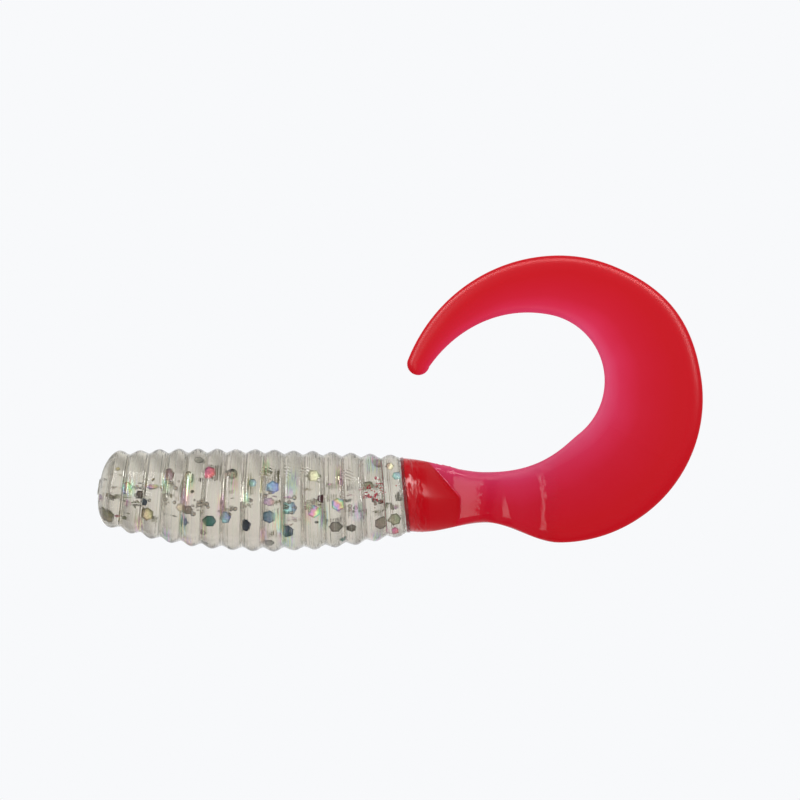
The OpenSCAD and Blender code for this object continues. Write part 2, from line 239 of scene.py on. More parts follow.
# Painted reflection: the pastel hue of the film is painted into the skin's tint.
painted_pastel = add_node(tree, "ShaderNodeCombineColor", {
    "Red": hue.outputs["Value"], "Green": strength.outputs["Result"], "Blue": 1.0}, mode="HSV")
tint = add_node(tree, "ShaderNodeMix", {
    "Factor": 1.0, "A": painted_pastel.outputs["Color"], "B": hex_colour("#E8E3D8")},
    data_type="RGBA", blend_type="MULTIPLY")
bright = add_node(tree, "ShaderNodeMapRange", {
    "Value": painted_streak_noise.outputs["Fac"], "From Min": 0.38, "From Max": 0.62, "To Max": 0.55})
shine = add_node(tree, "ShaderNodeMath", {
    0: bright.outputs["Result"], 1: painted_sheen.outputs["Fac"]}, operation="MULTIPLY")
shine = add_node(tree, "ShaderNodeMath", {
    0: shine.outputs["Value"], 1: hairlines.outputs["Value"]}, operation="MAXIMUM")
surface = add_node(tree, "ShaderNodeBsdfPrincipled", {
    "Base Color": tint.outputs["Result"], "Roughness": 0.03, "IOR": 1.48, "Transmission Weight": 1.0,
    "Metallic": shine.outputs["Value"], "Normal": bump.outputs["Normal"]})
depth = add_node(tree, "ShaderNodeVolumeAbsorption", {"Color": hex_colour("#E9E7E0"), "Density": 160.0})
add_node(tree, "ShaderNodeOutputMaterial", {
    "Surface": surface.outputs["BSDF"], "Volume": depth.outputs["Volume"]})
print(clear.name, "has", len(tree.nodes), "nodes")

# %% [markdown]
# ## Body
# The mould was turned, so a lathe is the way to make the body: an outline of the nose and the ribs
# is spun round a straight axis. Then each vertex is moved to the bent middle line. Along the top and
# the bottom the ribs are an even wave. On the sides they are broad and nearly flat, with narrow
# grooves between them. No two ribs are quite alike, because plastisol shrinks as it cools.

# %% Shape of the ribs
RIB_STEPS, NOSE_STEPS, SPIN_STEPS = 32, 14, 96
UNEVEN_RIBS, UNEVEN_SKIN = 0.05, 0.008
SIDE_CROWN_R, SIDE_GROOVE, SIDE_GROOVE_W = 4.0, 0.17, 0.13


def crown_radius(s):
    u = min(1, max(0, (s - FIRST_RIB) / (RIB_PITCH * (RIB_COUNT - 1))))
    end = NOSE_D if u < 0.5 else REAR_D
    return mix(BELLY_D, end, (1 - 2 * u) ** 2) / 2


def rib_drop(s, edge):
    """How far the surface lies below the crowns, on the side at edge 0 and at the top at edge 1."""
    rib = round((s - FIRST_RIB) / RIB_PITCH)
    x = abs(s - FIRST_RIB - rib * RIB_PITCH)
    wave = 0.6 * math.sin(math.pi * x / RIB_PITCH) ** 2 + 0.4 * (2 * x / RIB_PITCH) ** 2
    side = x * x / (2 * SIDE_CROWN_R) + SIDE_GROOVE * math.exp(-((RIB_PITCH / 2 - x) / SIDE_GROOVE_W) ** 2)
    uneven = UNEVEN_RIBS * noise.noise(Vector((rib * 1.7, 0.3, 0))) if 0 < rib < RIB_COUNT - 1 else 0
    return mix(side, GROOVE_DEPTH * wave, edge) + uneven * (wave - 1)


def smooth_step(x, low, high):
    t = min(1, max(0, (x - low) / (high - low)))
    return t * t * (3 - 2 * t)


# %% Outline of the body
outline = [(0, 0), (0, GATE_D / 2), (GATE_H, GATE_D / 2 + 0.02)]
for k in range(NOSE_STEPS):
    a = math.pi / 2 * k / NOSE_STEPS
    s = GATE_H + NOSE_LENGTH * (1 - math.cos(a) ** NOSE_LEAN)
    outline.append((s, mix(NOSE_FLAT_D, NOSE_D, math.sin(a) ** NOSE_LEAN) / 2))
LAST_GROOVE = FIRST_RIB + (RIB_COUNT - 0.5) * RIB_PITCH
for k in range(int((RIB_COUNT - 0.5) * RIB_STEPS) + 1):
    s = FIRST_RIB + k * RIB_PITCH / RIB_STEPS
    outline.append((s, crown_radius(s)))
outline += [(BODY_LENGTH, REAR_D / 2 - GROOVE_DEPTH + 0.03), (BODY_LENGTH, 0)]
print("points of the outline:", len(outline))

# %% Painted streaks of film colour and scuffs of the skin: X, Z, half width and half height in mm, and the hue of a streak
PAINTED_STREAKS = [
    (5.3, 0.3, 0.30, 0.7, 0.55), (7.2, 0.2, 0.35, 0.8, 0.45), (6.8, -0.7, 0.35, 0.9, 0.05),
    (9.6, -1.4, 0.35, 0.9, 0.20), (11.5, -0.8, 0.25, 0.5, 0.40), (14.0, -2.6, 0.55, 0.9, 0.45),
    (6.6, -2.8, 0.28, 0.9, 0.55), (5.3, -3.9, 0.30, 0.7, 0.75), (6.8, -4.6, 0.50, 0.7, 0.10),
    (12.8, -3.7, 0.30, 0.6, 0.15), (14.6, -4.0, 0.55, 0.8, 0.70), (16.2, -2.0, 0.30, 0.8, 0.35),
    (17.4, -2.3, 0.45, 0.9, 0.60), (20.1, -1.9, 0.50, 0.7, 0.90), (21.5, -4.0, 0.45, 0.5, 0.85),
    (3.2, -3.0, 0.35, 0.8, 0.15), (8.2, -3.2, 0.25, 0.8, 0.25), (10.6, 0.4, 0.30, 0.9, 0.30),
    (18.6, 0.8, 0.30, 0.8, 0.20), (2.45, -0.1, 0.55, 0.65, 0.55), (13.0, 1.6, 0.30, 0.6, 0.35),
    (15.0, 0.3, 0.45, 1.0, 0.70), (21.2, 1.8, 0.55, 0.65, 0.70),
]
SCUFFS = [(13.1, 1.2, 0.45, 0.45), (14.5, 1.3, 0.30, 0.45), (16.0, 1.2, 0.45, 0.35),
          (19.2, 1.0, 0.4, 0.35)]
SCUFF_HEIGHT = 0.40


def nearness(x, z, patch):
    return math.exp(-((x - patch[0]) / patch[2]) ** 4 - ((z - patch[1]) / patch[3]) ** 4)


print("streaks:", len(PAINTED_STREAKS), "and rows of scuffs:", len(SCUFFS))

# %% Spin the outline, press the grooves and bend it
bm = bmesh.new()
along_layer = bm.verts.layers.float.new("along_body")
groove_layer = bm.verts.layers.float.new("groove")
painted_sheen_layer = bm.verts.layers.float.new("painted_sheen")
painted_hue_layer = bm.verts.layers.float.new("painted_sheen_hue")
scuff_layer = bm.verts.layers.float.new("scuff")
verts = [bm.verts.new((s, 0, r)) for s, r in outline]
edges = [bm.edges.new(pair) for pair in zip(verts, verts[1:])]
bmesh.ops.spin(bm, geom=verts + edges, cent=(0, 0, 0), axis=(1, 0, 0),
               angle=math.tau, steps=SPIN_STEPS, use_merge=True)
bmesh.ops.remove_doubles(bm, verts=bm.verts, dist=1e-5)
for vert in bm.verts:
    s, y, z = vert.co
    radius = math.hypot(y, z)
    scale = 1 + UNEVEN_SKIN * noise.noise(Vector((s * 0.9, y * 0.5, z * 0.5)))
    if FIRST_RIB - 0.01 < s < LAST_GROOVE + 0.01:
        drop = rib_drop(s, smooth_step(abs(z) / radius, 0.86, 1.0))
        vert[groove_layer] = drop / GROOVE_DEPTH
        scale *= 1 - drop / radius
    vert[along_layer] = s
    spot = beside_axis(s, y * scale, z * scale)
    vert.co = spot * MM
    # Painted reflection: on the near side the skin carries how strongly the film's colour is painted on it, and
    # the hue of the nearest streak.
    if spot.y < 0:
        shares = [nearness(spot.x, spot.z, patch) for patch in PAINTED_STREAKS]
        vert[painted_sheen_layer] = min(1, sum(shares))
        vert[painted_hue_layer] = PAINTED_STREAKS[shares.index(max(shares))][4]
        vert[scuff_layer] = SCUFF_HEIGHT * sum(nearness(spot.x, spot.z, patch) for patch in SCUFFS)
bmesh.ops.recalc_face_normals(bm, faces=bm.faces)

# %% [markdown]
# ## Air bubbles
# Stirring the plastisol traps air, and swarms of bubbles hang along the middle. A bubble is a hole in
# the plastic, so it is a small sphere in the same mesh whose faces point into the hole. Light then bends
# the right way where it meets the air.

# %% Bubbles in the body
SWARMS = [(3.5, -8), (5.2, -8), (5.6, 14), (7.6, -12), (8.3, -10), (10.4, -14), (11.7, -4), (13.3, 12),
          (15.1, -6), (16.6, -8), (19.7, -16), (21.6, -4)]
SWARM_SIZE, SWARM_LENGTH, SWARM_DEGREES = 9, 0.26, 5
BUBBLE_R = 0.04, 0.19
LONE_BUBBLE = 10.4, 38, 0.93, 0.42
draw = random.Random(11)
bubbles = [LONE_BUBBLE]
for along, clock in SWARMS:
    for _ in range(SWARM_SIZE):
        bubbles.append((draw.gauss(along, SWARM_LENGTH), draw.gauss(clock, SWARM_DEGREES),
                        draw.uniform(0.8, 1.0), draw.uniform(*BUBBLE_R)))
for s, clock, out, radius in bubbles:
    away = out * (crown_radius(s) - GROOVE_DEPTH - radius - 0.05)
    angle = math.radians(clock)
    sphere = bmesh.ops.create_icosphere(bm, subdivisions=2, radius=radius * MM)
    bmesh.ops.translate(bm, verts=sphere["verts"],
                        vec=beside_axis(s, -away * math.cos(angle), away * math.sin(angle)) * MM)
    skin = {face for vert in sphere["verts"] for face in vert.link_faces}
    bmesh.ops.reverse_faces(bm, faces=list(skin))
print("bubbles:", len(bubbles))
body = finish_piece(bm, "clear_ribbed_body", clear)
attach(body, "lure_body")
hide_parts("ribbed_body")

# %% [markdown]
# ## Red plastisol
# The tail is pigmented vinyl. It is deep red where it is thick, and light that leaks through the
# thin inner edge turns it pink; that pink of the leaking light is painted into the colour. The tail's
# mesh carries numbers for that: how far across the blade a point is, how far along the tail, and its
# share of the round root. The colours are mixed from them, and so is the gloss, because the thin edge
# is dull and the collar at the root glints. The curl is also painted a little brighter from its lower
# end up to its top, as painted light from above. The glint is a coat over the collar, so that the gloss
# level can be one number for the whole tail. A fourth number of the mesh is the height of the shallow
# swells of the stem, and it becomes a bump.

# %% Red plastisol, glossy from the mould
red, tree = new_material("red_plastisol_moulded")
place = add_node(tree, "ShaderNodeTexCoord")
across = add_node(tree, "ShaderNodeAttribute", attribute_name="across")
along = add_node(tree, "ShaderNodeAttribute", attribute_name="along")
cloud = add_node(tree, "ShaderNodeTexNoise", {
    "Vector": place.outputs["Object"], "Scale": 1 / (3.0 * MM), "Detail": 2.0})
shift = add_node(tree, "ShaderNodeMath", {
    0: cloud.outputs["Fac"], 1: 0.12, 2: -0.06}, operation="MULTIPLY_ADD")
later = add_node(tree, "ShaderNodeMapRange", {
    "Value": along.outputs["Fac"], "From Min": 2.6, "From Max": 2.95, "To Max": 0.15})
shift = add_node(tree, "ShaderNodeMath", {
    0: shift.outputs["Value"], 1: later.outputs["Result"]}, operation="ADD")
stretch = add_node(tree, "ShaderNodeMapRange", {
    "Value": along.outputs["Fac"], "From Min": 1.5, "From Max": 2.2, "To Min": 0.62, "To Max": 1.0})
spread = add_node(tree, "ShaderNodeMath", {
    0: across.outputs["Fac"], 1: stretch.outputs["Result"], 2: shift.outputs["Value"]},
    operation="MULTIPLY_ADD")
# Painted light: towards the thin inner edge the ramp turns pink, which is the light that leaks through the vinyl
# painted into its colour.
blade_colour = add_node(tree, "ShaderNodeValToRGB", {"Fac": spread.outputs["Value"]})
set_ramp(blade_colour, [
    (0.0, "#D1466B"), (0.10, "#CD3056"), (0.18, "#CA2648"), (0.28, "#C71D3C"), (0.40, "#C2132C"),
    (0.55, "#C00D23"), (0.75, "#BE0A19")])
# Painted light: the curl is made brighter from its lower end up to its top, as if more light falls on it from
# above.
painted_light_lift = add_node(tree, "ShaderNodeMapRange", {
    "Value": along.outputs["Fac"], "From Min": 1.9, "From Max": 2.6, "To Min": 0.97, "To Max": 1.18})
blade_colour = add_node(tree, "ShaderNodeHueSaturation", {
    "Value": painted_light_lift.outputs["Result"], "Color": blade_colour.outputs["Color"]})
dome = add_node(tree, "ShaderNodeAttribute", attribute_name="dome")
colour = add_node(tree, "ShaderNodeMix", {
    "Factor": dome.outputs["Fac"], "A": blade_colour.outputs["Color"],
    "B": hex_colour("#B70513")}, data_type="RGBA")
gloss = add_node(tree, "ShaderNodeMapRange", {
    "Value": along.outputs["Fac"], "From Min": 1.9, "From Max": 2.3, "To Min": 0.12, "To Max": 0.30})
dome_gloss = add_node(tree, "ShaderNodeMapRange", {
    "Value": along.outputs["Fac"], "From Min": 0.2, "From Max": 0.32, "To Min": 0.12, "To Max": 0.38})
gloss = add_node(tree, "ShaderNodeMapRange", {
    "Value": dome.outputs["Fac"], "To Min": gloss.outputs["Result"],
    "To Max": dome_gloss.outputs["Result"]})
thin_edge = add_node(tree, "ShaderNodeMapRange", {
    "Value": across.outputs["Fac"], "From Min": 0.10, "From Max": 0.22, "To Min": 0.60, "To Max": 0.0})
behind_root = add_node(tree, "ShaderNodeMapRange", {
    "Value": along.outputs["Fac"], "From Min": 0.65, "From Max": 0.8})
matt_edge = add_node(tree, "ShaderNodeMath", {
    0: thin_edge.outputs["Result"], 1: behind_root.outputs["Result"]}, operation="MULTIPLY")
gloss = add_node(tree, "ShaderNodeMath", {
    0: gloss.outputs["Result"], 1: matt_edge.outputs["Value"]}, operation="MAXIMUM")
swells = add_node(tree, "ShaderNodeAttribute", attribute_name="swell")
bump = add_node(tree, "ShaderNodeBump", {
    "Height": swells.outputs["Fac"], "Strength": 1.0, "Distance": MM})
glint = add_node(tree, "ShaderNodeMapRange", {
    "Value": along.outputs["Fac"], "From Min": 0.08, "From Max": 0.17, "To Min": 0.32, "To Max": 0.0})
surface = add_node(tree, "ShaderNodeBsdfPrincipled", {
    "Base Color": colour.outputs["Result"], "Roughness": gloss.outputs["Value"], "IOR": 1.5,
    "Specular IOR Level": 0.10, "Coat Weight": glint.outputs["Result"], "Coat Roughness": 0.12,
    "Normal": bump.outputs["Normal"]})
add_node(tree, "ShaderNodeOutputMaterial", {"Surface": surface.outputs["BSDF"]})
print(red.name, "has", len(tree.nodes), "nodes")

# %% [markdown]
# ## Outline of the tail
# The blade lies between two circles: its outer edge, and an eye beside the middle of the curl. Both
# open out at the tip. The stem runs into them along smooth curves. A place q on the tail goes from 0
# at the root to 1 at the neck, 2 where the curl starts, 3 where the round tip starts and 4 at its end.

# %% Sizes of the tail
ROOT_D, ROOT_FAIRING, TOP_FAIRING = 5.7, 4.3, 2.2
NECK_LENGTH, NECK_DROP, NECK_H = 6.1, 0.2, 3.9
CURL_R, CURL_REACH, CURL_RISE = 11.1, 5.7, 7.6
EYE_R, EYE_OFFSET = 5.2, Vector((-1.7, 1.4))
TIP_ANGLE, TIP_FLARE, TIP_W = 166, 1.0, 1.75
NECK_FLARE, SHOULDER = 0.45, 0.2
ROOT_TOP_SLOPE, ROOT_LOW_SLOPE = -0.05, -0.15

rear_tilt = tilt_at(BODY_LENGTH)
rear = beside_axis(BODY_LENGTH, 0, 0).xz
rear_up = Vector((-math.sin(rear_tilt), math.cos(rear_tilt)))
rear_ahead = Vector((math.cos(rear_tilt), math.sin(rear_tilt)))
neck = rear + Vector((NECK_LENGTH, -NECK_DROP))
curl = neck + Vector((CURL_REACH, CURL_RISE))
print("middle of the curl in mm:", [round(c, 2) for c in curl])

# %% Edges of the tail
def ray(angle):
    return Vector((math.cos(math.radians(angle)), math.sin(math.radians(angle))))


def opening(angle, start, end):
    return max(0, (angle - start) / (end - start)) ** 2


def outer_r(angle):
    shoulder = SHOULDER * math.cos(math.pi / 2 * min(1, abs(angle - 38) / 30)) ** 2
    return CURL_R + TIP_FLARE * opening(angle, 90, TIP_ANGLE) + shoulder


def eye_circle_r(angle):
    reach = EYE_OFFSET.dot(ray(angle))
    return reach + math.sqrt(EYE_R ** 2 - EYE_OFFSET.length_squared + reach ** 2)


EYE_FLARE = outer_r(TIP_ANGLE) - TIP_W - eye_circle_r(TIP_ANGLE)


def curl_ends(angle):
    opened = EYE_FLARE * opening(angle, 96, TIP_ANGLE) + NECK_FLARE * opening(angle, -60, -90)
    return curl + (eye_circle_r(angle) + opened) * ray(angle), curl + outer_r(angle) * ray(angle)


def stem_edge(a, slope_a, b, slope_b, t):
    run = b.x - a.x
    z = (a.y * (1 + 2 * t) * (1 - t) ** 2 + slope_a * run * t * (1 - t) ** 2
         + b.y * t * t * (3 - 2 * t) - slope_b * run * t * t * (1 - t))
    return Vector((mix(a.x, b.x, t), z))


root_ends = rear + ROOT_D / 2 * rear_up, rear - ROOT_D / 2 * rear_up
neck_ends = neck + Vector((0, NECK_H / 2)), neck - Vector((0, NECK_H / 2))
start_ends, tip_ends = curl_ends(-90), curl_ends(TIP_ANGLE)
eye_step = curl_ends(-89.5)[0] - start_ends[0]


def section_ends(q):
    """The inner and the outer end of a section, in the plane of the tail."""
    if q <= 1:
        return (stem_edge(root_ends[0], ROOT_TOP_SLOPE, neck_ends[0], 0, q),
                stem_edge(root_ends[1], ROOT_LOW_SLOPE, neck_ends[1], 0, q))
    if q <= 2:
        return (stem_edge(neck_ends[0], 0, start_ends[0], eye_step.y / eye_step.x, q - 1),
                stem_edge(neck_ends[1], 0, start_ends[1], 0, q - 1))
    if q <= 3:
        return curl_ends(mix(-90, TIP_ANGLE, q - 2))
    a = math.pi / 2 * (q - 3)
    half = (tip_ends[1] - tip_ends[0]) / 2
    middle = (tip_ends[0] + tip_ends[1]) / 2 + math.sin(a) * Vector((-half.y, half.x))
    return middle - half * math.cos(a), middle + half * math.cos(a)


def curl_place(angle):
    return 2 + (angle + 90) / (TIP_ANGLE + 90)


print("the eye opens by", round(EYE_FLARE, 2), "mm at the tip")

# %% [markdown]
# ## Sections of the tail
# Across the blade the rim is thick and widely rounded, and the inner edge is thin. The root is round
# and dies away into the flat stem, sooner along its top. The vinyl shrank a little on the stem, in
# three shallow swells with ragged ends that catch the light as pale streaks. The mesh rises a little
# there. It also carries each swell as a number, and the material turns that number into a bump, so
# that the streaks are as bright as on the real tail while the stem stays as flat.

# %% Thickness of the tail
STEM_T, INNER_T, TIP_T, RIM_ROUND = 1.25, 0.75, 0.9, 1.2
SWELL_FALL, SWELL_IN_MESH, SWELLS_END = 0.9, 0.25, 2.3
RAGGED = (0.3, 0.15, 1.0)
TORN = (0.022, 0.0, 0.010)


def half_thickness(q, v):
    """Half the thickness at v across the blade, from its inner edge at 0 to its rim at 1."""
    wedge = mix(INNER_T, STEM_T, v)
    if q <= 2:
        return mix(STEM_T, wedge, max(0, q - 1)) / 2
    if q <= 3:
        return mix(wedge, TIP_T, q - 2) / 2
    return TIP_T / 2 * math.sqrt(max(0.004, math.cos(math.pi / 2 * (q - 3))))


def swell_spans(z):
    """Where each swell of the stem rises at this height: its start and end in mm, and its slope."""
    yield 27.4, 29.6 + 0.15 * (z - neck.y), 0.16
    below = 0.1 - z
    yield 31.1 + 0.05 * below, 31.2 + (0.26 if below > 0 else 2.0) * below, 0.205
    middle = 34.2 - (0.12 if z > -0.9 else 0.03) * (z + 0.9) ** 2
    yield middle, middle + 0.5, 0.19


def ragged(z, k):
    return 0.25 * noise.noise(Vector((z * 1.6, k, 0))) + 0.12 * noise.noise(Vector((z * 5, k, 3)))


def swell(x, z):
    height = 0
    for k, (start, end, slope) in enumerate(swell_spans(z)):
        start += 0.4 * RAGGED[k] * ragged(z, k * 2.3)
        end += RAGGED[k] * ragged(z, k * 2.3 + 9)
        if start < x and start < end:
            fallen = math.exp(-((x - end) / SWELL_FALL) ** 2)
            height += slope * (x - start) if x < end else slope * (end - start) * fallen
            height += TORN[k] * noise.noise(Vector((x * 4, z * 4, k))) * math.exp(-((x - end) / 0.4) ** 2)
    return height


def rounding(distance, width):
    return math.sqrt(max(0, 1 - (1 - min(1, distance / width)) ** 2))


print("thickness of the stem and of the inner edge in mm:", STEM_T, INNER_T)

# %% One section of the tail
RING = 128


def section(q):
    """Points round a section in mm, each with its place across, its share of the dome and its swell."""
    inner, outer = section_ends(max(0, q))
    middle = (inner + outer) / 2 + min(0, q) * NECK_LENGTH * rear_ahead
    half = (outer - inner) / 2
    width = half.length
    root_r = min(ROOT_D / 2, width)
    rim = mix(STEM_T / 2, RIM_ROUND, min(1, max(0, q - 1)))
    points = []
    for k in range(RING):
        a = math.tau * k / RING
        c = -math.cos(a)
        v = (1 + c) / 2
        p = middle + half * c
        t = half_thickness(q, v)
        border = min(rim if c > 0 else t, width)
        rounded = rounding(width * (1 - abs(c)), border)
        flat = t * rounded
        fairing = mix(ROOT_FAIRING, TOP_FAIRING, max(0, -c))
        left = math.sqrt(max(0, 1 - (q * NECK_LENGTH / fairing) ** 2))
        ball = left * math.sqrt(max(0, root_r ** 2 - (c * width) ** 2))
        side = 0 if k % (RING // 2) == 0 else math.copysign(1, math.sin(a))
        share = smooth_step(ball - flat, -0.05, 0.10) if q < 1 else 0
        lift = rounded * swell(p.x, p.y) if q < SWELLS_END else 0
        away = max(flat + SWELL_IN_MESH * lift, ball)
        points.append((Vector((p.x, side * away, p.y)), v, share, (1 - SWELL_IN_MESH) * lift))
    return points


print("points round a section:", RING)

# %% [markdown]
# ## Loft the tail
# A first ring of vertices is extruded again and again, and each new ring is moved to the next
# section. The tail bends at three places and a piece can bend between two bodies only, so it is made
# in three pieces that meet where nothing bends. They share their end rings, so they look like one.
# Where the red was poured against the body, it has a ragged collar.

# %% The collar at the root
COLLAR = [(0.10, 0.05, 0.06), (0.35, 0.06, 0.05), (0.65, 0.08, 0.05), (0.90, 0.08, 0.05),
          (1.15, 0.06, 0.06)]
COLLAR_SWAY, LUMP_HEIGHT = 0.35, 0.22


def collar(point, q):
    """How far the wrinkles of the collar stand out: they sway, break off and run into each other."""
    lift = 0
    for offset, height, width in COLLAR:
        spot = Vector((point.z * 0.9, point.y * 0.5, offset * 9))
        sway = noise.noise(spot) + 0.4 * noise.noise(spot * 3)
        x = q * NECK_LENGTH - offset - COLLAR_SWAY * sway
        whole = min(1, max(0, 0.6 + 1.9 * noise.noise(spot * 1.7 + Vector((3, 1, 0)))))
        lift += height * whole * math.exp(-(x / width) ** 2)
    return lift * min(1, abs(point.y) / 1.2)


def lumps(point, q, v):
    """Small lumps on the top edge of the stem, just behind the round root."""
    place = math.exp(-((q - 0.52) / 0.10) ** 2 - ((v - 0.07) / 0.09) ** 2)
    return LUMP_HEIGHT * place * max(0, noise.noise(point * 4))


print("wrinkles of the collar:", len(COLLAR))

# %% Extrude ring after ring
def next_ring(bm, ring, loop):
    made = bmesh.ops.extrude_edge_only(bm, edges=loop)["geom"]
    fresh = {item for item in made if isinstance(item, bmesh.types.BMVert)}
    above = {}
    for vert in fresh:
        for edge in vert.link_edges:
            other = edge.other_vert(vert)
            if other not in fresh:
                above[other] = vert
    loop = [item for item in made if isinstance(item, bmesh.types.BMEdge) and set(item.verts) <= fresh]
    return [above[vert] for vert in ring], loop


def loft(places):
    bm = bmesh.new()
    across_layer = bm.verts.layers.float.new("across")
    along_layer = bm.verts.layers.float.new("along")
    dome_layer = bm.verts.layers.float.new("dome")
    swell_layer = bm.verts.layers.float.new("swell")
    ring = [bm.verts.new() for _ in range(RING)]
    loop = [bm.edges.new(pair) for pair in zip(ring, ring[1:] + ring[:1])]
    bm.faces.new(ring)
    for number, q in enumerate(places):
        if number:
            ring, loop = next_ring(bm, ring, loop)
        points = section(q)
        centre = sum((point[0] for point in points), Vector()) / RING
        for vert, (p, v, share, swollen) in zip(ring, points):
            lift = (collar(p, q) if q < 0.4 else lumps(p, q, v)) if 0 < q < 0.8 else 0
            vert.co = (p + (p - centre).normalized() * lift) * MM
            vert[across_layer] = v
            vert[along_layer] = q
            vert[dome_layer] = share
            vert[swell_layer] = swollen
    bm.faces.new(ring)
    bmesh.ops.recalc_face_normals(bm, faces=bm.faces)
    return bm


def steps(a, b, n):
    return [mix(a, b, i / n) for i in range(n + 1)]


SEAMS = -60, 55
seam_low, seam_high = (curl_place(angle) for angle in SEAMS)
root_places = [-0.05] + steps(0, 0.3, 80) + steps(0.3, 1.18, 90)[1:] + steps(1.18, 1.4, 70)[1:]
root_places += steps(1.4, 2, 50)[1:]
root_mesh = loft(root_places + steps(2, seam_low, 60)[1:])
curl_mesh = loft(steps(seam_low, seam_high, 190))
cap = [3 + 0.99 * math.sin(math.pi / 2 * i / 12) for i in range(1, 13)]
tip_mesh = loft(steps(seam_high, 3, 200) + cap)

# %% [markdown]
# ## Red specks
# A little red ran into the clear body before it set. It shows through the last ribs as specks and
# short threads, so they are small stretched spheres inside the body that belong to the red root.
# They are thin, so they take the pale red that the material has near the thin edge of the blade, where leaking
# light is painted in, and the painted light of the brightest part of the curl, which lightens them.

# %% Specks of red in the last ribs
SPECKS, SPECK_R = 54, (0.03, 0.07)
# Painted light: these places give the specks the painted pink of leaking light and the full painted brightening
# of the curl, which makes them paler.
SPECK_ACROSS_IN_PAINTED_PINK, SPECK_ALONG_IN_PAINTED_LIFT = 0.1, 3.0
across_layer = root_mesh.verts.layers.float["across"]
along_layer = root_mesh.verts.layers.float["along"]
draw = random.Random(5)
for _ in range(SPECKS):
    speck = bmesh.ops.create_icosphere(root_mesh, subdivisions=2, radius=draw.uniform(*SPECK_R) * MM)
    for vert in speck["verts"]:
        vert[across_layer], vert[along_layer] = SPECK_ACROSS_IN_PAINTED_PINK, SPECK_ALONG_IN_PAINTED_LIFT
    bmesh.ops.scale(root_mesh, verts=speck["verts"],
                    vec=(draw.uniform(0.5, 1.5), 0.6, draw.uniform(0.8, 2.5)))
    spot = beside_axis(BODY_LENGTH - draw.gauss(2.4, 0.45), draw.uniform(-2.6, -2.2),
                       draw.gauss(0.3, 0.4))
    bmesh.ops.translate(root_mesh, verts=speck["verts"], vec=spot * MM)
root_piece = finish_piece(root_mesh, "red_tail_root", red)
curl_piece = finish_piece(curl_mesh, "red_tail_curl", red)
tip_piece = finish_piece(tip_mesh, "red_tail_tip", red)

# %% [markdown]
# ## Let the tail bend
# Each piece follows one body before a bend and the next body after it. The places come from the
# joints of the measured solids, so the picture bends where the part bends. Soft vinyl has no crease,
# so a bend is spread over a few millimetres on either side of its joint.

# %% Blend the three pieces across their joints
WAG_REACH, BLADE_REACH = 2.2, 2.8
joints = {joint["name"]: joint for joint in frame["record"]["behaviour"]["joints"]}
print("the tail bends at", ", ".join(joints))


def bend_across(piece, joint, direction, reach, *nodes):
    middle = Vector(joints[joint]["pos_m"])
    before, after = middle - direction * reach * MM, middle + direction * reach * MM
    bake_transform(piece, joints[joint]["parent"], joints[joint]["child"], start=tuple(before), end=tuple(after))
    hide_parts(*nodes)


def along_blade(joint):
    axis = Vector(joints[joint]["axis"])
    return Vector((-axis.z, 0, axis.x))


bend_across(root_piece, "tail_wag", Vector((1, 0, 0)), WAG_REACH,
            "tail_root", "tail_neck", "tail_lower_blade")
bend_across(curl_piece, "blade_flex", along_blade("blade_flex"), BLADE_REACH, "tail_mid_bend")
bend_across(tip_piece, "tip_flex", along_blade("tip_flex"), BLADE_REACH,
            "tail_upper_blade", "tail_tip_bend", "tail_tip")

# %% [markdown]
# ## Holographic film
# The glitter is cut from polyester film with a metal skin and a fine grating. A flake shows a hue that
# runs on into the next hues across it, and some flakes are dull or nearly black from where we look.
# These hues and darks are light that the grating throws back, painted into each flake's colour as a
# painted reflection. Each flake carries its own hue, spread, strength and lightness, and u, the place
# across the grating.
# A last number runs from 0 in the middle of a flake to 1 at its rim, and the flake is lighter in its middle and
# darker towards its rim.

# %% Holographic polyester film
film, tree = new_material("holographic_polyester_film")
read = {key: add_node(tree, "ShaderNodeAttribute", attribute_name="film_" + key).outputs["Fac"]
        for key in ("hue", "spread", "strength", "light", "u", "rim")}
place = add_node(tree, "ShaderNodeTexCoord")
ripple = add_node(tree, "ShaderNodeTexNoise", {
    "Vector": place.outputs["Object"], "Scale": 1 / (0.35 * MM), "Detail": 1.0})
turn = add_node(tree, "ShaderNodeMath", {0: ripple.outputs["Fac"], 1: 0.7, 2: read["u"]},
                operation="MULTIPLY_ADD")
hue = add_node(tree, "ShaderNodeMath", {0: turn.outputs["Value"], 1: read["spread"], 2: read["hue"]},
               operation="MULTIPLY_ADD")
hue = add_node(tree, "ShaderNodeMath", {0: hue.outputs["Value"]}, operation="FRACT")
grain = add_node(tree, "ShaderNodeTexNoise", {
    "Vector": place.outputs["Object"], "Scale": 1 / (0.14 * MM), "Detail": 2.0})
grain = add_node(tree, "ShaderNodeMapRange", {
    "Value": grain.outputs["Fac"], "From Min": 0.3, "From Max": 0.7, "To Min": 0.75, "To Max": 1.15})
light = add_node(tree, "ShaderNodeMath", {
    0: read["light"], 1: grain.outputs["Result"]}, operation="MULTIPLY")
darker_towards_rim = add_node(tree, "ShaderNodeMapRange", {
    "Value": read["rim"], "From Min": 0.68, "From Max": 0.88, "To Min": 1.08, "To Max": 0.55})
light = add_node(tree, "ShaderNodeMath", {
    0: light.outputs["Value"], 1: darker_towards_rim.outputs["Result"]}, operation="MULTIPLY")
rainbow = add_node(tree, "ShaderNodeCombineColor", {
    "Red": hue.outputs["Value"], "Green": read["strength"], "Blue": light.outputs["Value"]}, mode="HSV")
surface = add_node(tree, "ShaderNodeBsdfPrincipled", {
    "Base Color": rainbow.outputs["Color"], "Metallic": 1.0, "Roughness": 0.3})
add_node(tree, "ShaderNodeOutputMaterial", {"Surface": surface.outputs["BSDF"]})
print(film.name, "has", len(tree.nodes), "nodes")

